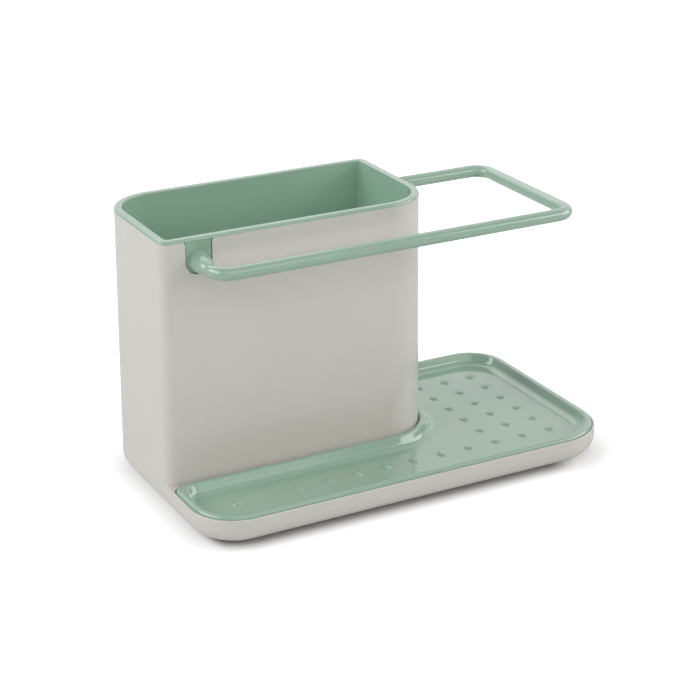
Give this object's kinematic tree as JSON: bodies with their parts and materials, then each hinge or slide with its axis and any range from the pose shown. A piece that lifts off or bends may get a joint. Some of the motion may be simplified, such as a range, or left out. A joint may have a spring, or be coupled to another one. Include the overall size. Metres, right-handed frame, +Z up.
{
  "type": "kitchen sink caddy",
  "caption": "Worktop sink caddy: tall box with a lift-out liner and a cloth rail, standing in a shallow pan with a lift-out drain plate.",
  "frame": {"origin": "on the surface that the caddy stands on, under the middle of the body's footprint", "axes": "+Z up, +X along the front from the box to the open end of the tray, +Y from the front to the back"},
  "size_m": [0.2048, 0.1138, 0.1242],
  "materials": {
    "white_plastic": "gloss",
    "green_plastic": "gloss",
    "foot_rubber": "matt"
  },
  "bodies": {
    "base": {"outer_body": "white_plastic", "foot_front_left": "foot_rubber", "foot_front_right": "foot_rubber", "foot_back_left": "foot_rubber", "foot_back_right": "foot_rubber"},
    "liner": {"utensil_liner": "green_plastic"},
    "plate": {"drain_plate": "green_plastic"}
  },
  "joints": [
    {"name": "liner_lift", "type": "slide", "parent": "base", "child": "liner", "axis": [0, 0, 1], "range_m": [0, 0.12]},
    {"name": "plate_lift", "type": "slide", "parent": "base", "child": "plate", "axis": [0, 0, 1], "range_m": [0, 0.08]}
  ]
}
